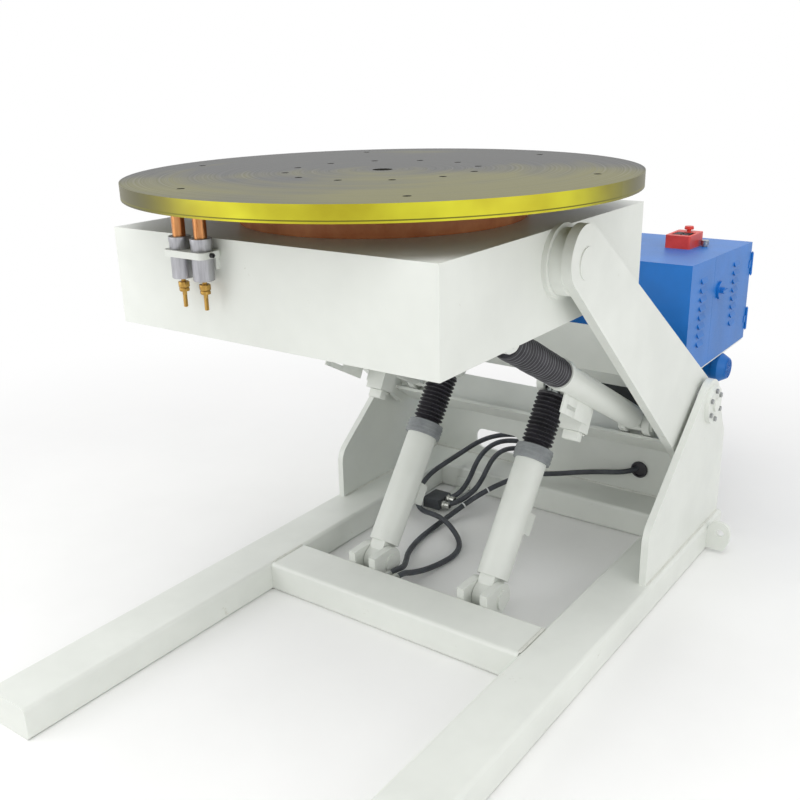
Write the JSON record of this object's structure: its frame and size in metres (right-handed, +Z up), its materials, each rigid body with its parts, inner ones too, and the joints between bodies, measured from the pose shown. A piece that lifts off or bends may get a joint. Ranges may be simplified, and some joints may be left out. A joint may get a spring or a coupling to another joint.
{
  "type": "welding positioner",
  "caption": "Hydraulic elevating and tilting welding positioner: round slotless table on a slewing ring, swing arm, lift and tilt cylinders, welded base, power unit.",
  "frame": {"origin": "on the floor under the front cross beam, straight below the tilt axis, on the machine's middle plane", "axes": "+Z up along the table's axis at rest, -Y towards the front (where the table faces when tilted), +X to the side that carries the power unit"},
  "size_m": [1.582, 2.799, 1.544],
  "materials": {
    "grey_paint": "satin off-white enamel",
    "table_steel": "turned steel with fine rings",
    "ring_primer": "red-brown primer",
    "bright_steel": "ground steel",
    "chromed_rod": "hard chrome",
    "cast_grey": "grey painted casting",
    "black_rubber": "moulded rubber",
    "bronze": "machined bronze",
    "brush_aluminium": "machined aluminium",
    "brush_copper": "drawn copper",
    "cabinet_blue": "blue powder coat",
    "tank_grey": "dark grey paint",
    "pendant_red": "moulded red plastic",
    "key_black": "matt black keys"
  },
  "bodies": {
    "base": {"right_leg_beam": "grey_paint", "left_leg_beam": "grey_paint", "front_cross_beam": "grey_paint", "rear_cross_beam": "grey_paint", "rear_wall": "grey_paint", "right_upright": "grey_paint", "left_upright": "grey_paint", "lift_foot_pins": "bright_steel", "lift_pivot_pins": "bright_steel", "pivot_end_caps": "grey_paint", "pivot_cap_bolts": "bright_steel", "power_unit_frame": "grey_paint", "oil_tank": "tank_grey", "pump_motor": "cabinet_blue", "cabinet_shell": "cabinet_blue", "pendant_body": "pendant_red", "pendant_keypad": "key_black", "breather_cap": "bright_steel"},
    "arm": {"right_arm_plate": "grey_paint", "left_arm_plate": "grey_paint", "pivot_bushes": "bronze", "upper_cross_beam": "grey_paint", "lower_cross_beam": "grey_paint", "lift_eye_pin_ends": "bright_steel", "tilt_foot_pins": "bright_steel", "tilt_trunnions": "bright_steel"},
    "tilt_box": {"tilt_box_shell": "grey_paint", "tilt_eye_pin_ends": "bright_steel", "trunnion_bearings": "grey_paint", "slewing_inner_ring": "cast_grey", "rotation_gearmotor": "cast_grey", "brush_clamp": "brush_aluminium", "brush_holders": "bronze"},
    "table": {"table_faceplate": "table_steel", "slewing_ring_gear": "ring_primer"},
    "pinion": {"drive_pinion": "bright_steel"},
    "brushes": {"brush_rods": "brush_copper"},
    "door": {"cabinet_door": "cabinet_blue"},
    "latch": {"cabinet_latch": "cabinet_blue"},
    "stop_button": {"pendant_stop": "pendant_red"},
    "lift_barrel_right": {"lift_barrel_right": "grey_paint", "lift_collar_right": "cast_grey", "lift_bellows_right": "black_rubber"},
    "lift_rod_right": {"lift_rod_right": "chromed_rod"},
    "tilt_barrel_right": {"tilt_barrel_right": "grey_paint", "tilt_bellows_right": "black_rubber"},
    "tilt_rod_right": {"tilt_rod_right": "chromed_rod"},
    "lift_barrel_left": {"lift_barrel_left": "grey_paint", "lift_collar_left": "cast_grey", "lift_bellows_left": "black_rubber"},
    "lift_rod_left": {"lift_rod_left": "chromed_rod"},
    "tilt_barrel_left": {"tilt_barrel_left": "grey_paint", "tilt_bellows_left": "black_rubber"},
    "tilt_rod_left": {"tilt_rod_left": "chromed_rod"}
  },
  "joints": [
    {"name": "lift", "type": "hinge", "parent": "base", "child": "arm", "pos_m": [0, 1.04, 0.62], "axis": [-1, 0, 0], "range_deg": [-12, 12]},
    {"name": "tilt", "type": "hinge", "parent": "arm", "child": "tilt_box", "pos_m": [0, 0, 1.32], "axis": [1, 0, 0], "range_deg": [0, 90]},
    {"name": "table_turn", "type": "hinge", "parent": "tilt_box", "child": "table", "pos_m": [0, -0.04, 1.5], "axis": [0, 0, 1], "continuous": true},
    {"name": "pinion_turn", "type": "hinge", "parent": "tilt_box", "child": "pinion", "pos_m": [0, 0.44, 1.45], "axis": [0, 0, 1], "continuous": true},
    {"name": "brush_spring", "type": "slide", "parent": "tilt_box", "child": "brushes", "axis": [0, 0, 1], "range_m": [-0.006, 0], "stiffness_N_per_m": 3000, "springref_m": 0.02},
    {"name": "door_hinge", "type": "hinge", "parent": "base", "child": "door", "pos_m": [0.606, 1.654, 0.93], "axis": [0, 0, 1], "range_deg": [0, 110]},
    {"name": "latch_turn", "type": "hinge", "parent": "door", "child": "latch", "pos_m": [0.606, 1.27516, 0.997], "axis": [1, 0, 0], "range_deg": [-90, 0]},
    {"name": "stop_press", "type": "slide", "parent": "base", "child": "stop_button", "axis": [0, 0, 1], "range_m": [-0.007, 0], "stiffness_N_per_m": 800, "springref_m": 0.006},
    {"name": "lift_swing_right", "type": "hinge", "parent": "base", "child": "lift_barrel_right", "pos_m": [0.237, 0.18, 0.086], "axis": [1, 0, 0], "range_deg": [-2.2, 2.2]},
    {"name": "lift_stroke_right", "type": "slide", "parent": "lift_barrel_right", "child": "lift_rod_right", "axis": [0, 0.6029, 0.7978], "range_m": [-0.0765, 0.0765], "deforming": ["lift_bellows_right"]},
    {"name": "tilt_swing_right", "type": "hinge", "parent": "arm", "child": "tilt_barrel_right", "pos_m": [0.48, 0.85038, 0.57646], "axis": [-1, 0, 0], "range_deg": [-0.1, 11.29]},
    {"name": "tilt_stroke_right", "type": "slide", "parent": "tilt_barrel_right", "child": "tilt_rod_right", "axis": [0, -0.8796, 0.4756], "range_m": [-0.3151, 0.001], "deforming": ["tilt_bellows_right"]},
    {"name": "lift_swing_left", "type": "hinge", "parent": "base", "child": "lift_barrel_left", "pos_m": [-0.237, 0.18, 0.086], "axis": [1, 0, 0], "range_deg": [-2.2, 2.2]},
    {"name": "lift_stroke_left", "type": "slide", "parent": "lift_barrel_left", "child": "lift_rod_left", "axis": [0, 0.6029, 0.7978], "range_m": [-0.0765, 0.0765], "deforming": ["lift_bellows_left"]},
    {"name": "tilt_swing_left", "type": "hinge", "parent": "arm", "child": "tilt_barrel_left", "pos_m": [-0.48, 0.85038, 0.57646], "axis": [-1, 0, 0], "range_deg": [-0.1, 11.29]},
    {"name": "tilt_stroke_left", "type": "slide", "parent": "tilt_barrel_left", "child": "tilt_rod_left", "axis": [0, -0.8796, 0.4756], "range_m": [-0.3151, 0.001], "deforming": ["tilt_bellows_left"]}
  ],
  "couplings": [
    {"joint": "pinion_turn", "follows": "table_turn", "ratio": -5.8571},
    {"joint": "lift_swing_right", "follows": "lift", "ratio": 0.171},
    {"joint": "lift_stroke_right", "follows": "lift", "m_per_rad": 0.36},
    {"joint": "tilt_swing_right", "follows": "tilt", "ratio": 0.12432},
    {"joint": "tilt_stroke_right", "follows": "tilt", "m_per_rad": -0.19998},
    {"joint": "lift_swing_left", "follows": "lift", "ratio": 0.171},
    {"joint": "lift_stroke_left", "follows": "lift", "m_per_rad": 0.36},
    {"joint": "tilt_swing_left", "follows": "tilt", "ratio": 0.12432},
    {"joint": "tilt_stroke_left", "follows": "tilt", "m_per_rad": -0.19998}
  ]
}
